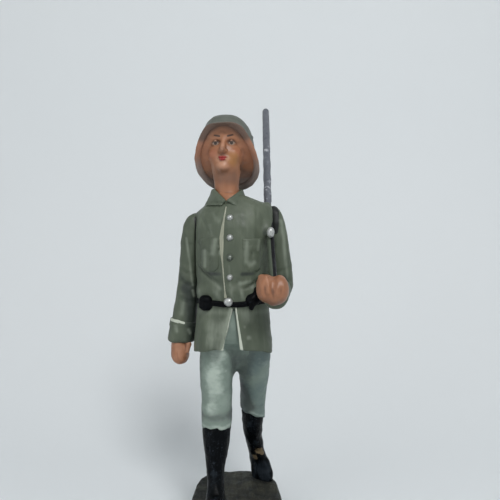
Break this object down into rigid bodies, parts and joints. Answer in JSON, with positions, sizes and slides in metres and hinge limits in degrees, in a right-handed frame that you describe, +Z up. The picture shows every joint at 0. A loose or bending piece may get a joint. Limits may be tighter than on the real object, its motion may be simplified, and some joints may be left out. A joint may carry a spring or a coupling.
{
  "type": "toy soldier figure",
  "caption": "Marching toy soldier of painted composition in a green tunic and flared helmet, rifle sloped on the left shoulder, on a dark slab base.",
  "frame": {"origin": "centre of the base's underside", "axes": "+Z up, the figure faces -Y, its own left side is +X"},
  "size_m": [0.0232, 0.0376, 0.0806],
  "materials": {
    "base_paint": "rough dark paint over composition",
    "wire": "dull iron wire",
    "boot_black": "glossy black paint over composition",
    "trouser_paint": "satin grey-green paint with pale strokes",
    "tunic_paint": "satin field green paint, worn on its edges",
    "cream_paint": "pale cream brush line",
    "silver_paint": "silver paint",
    "belt_black": "glossy black paint",
    "skin": "satin flesh paint",
    "helmet_paint": "satin grey-green paint",
    "stock_paint": "black paint",
    "barrel_paint": "worn gun-grey paint"
  },
  "bodies": {
    "root": {"base": "base_paint", "right_leg_wire": "wire", "left_leg_wire": "wire", "right_boot": "boot_black", "left_boot": "boot_black", "trousers_right_leg": "trouser_paint", "trousers_left_leg": "trouser_paint", "trousers_seat": "trouser_paint", "tunic_skirt": "tunic_paint", "tunic_body": "tunic_paint", "tunic_collar": "tunic_paint", "tunic_front_edge": "cream_paint", "right_breast_pocket": "tunic_paint", "left_breast_pocket": "tunic_paint", "tunic_buttons": "silver_paint", "belt": "belt_black", "belt_buckle": "silver_paint", "right_pouch": "belt_black", "left_pouch": "belt_black", "right_arm_wire": "wire", "right_sleeve": "tunic_paint", "right_cuff": "tunic_paint", "right_hand": "skin", "left_arm_wire": "wire", "left_sleeve": "tunic_paint", "left_forearm_sleeve": "tunic_paint", "left_cuff": "tunic_paint", "left_hand": "skin", "spine_wire": "wire", "head": "skin", "helmet": "helmet_paint", "rifle_stock": "stock_paint", "rifle_barrel": "barrel_paint", "rifle_bolt": "silver_paint"}
  },
  "joints": []
}
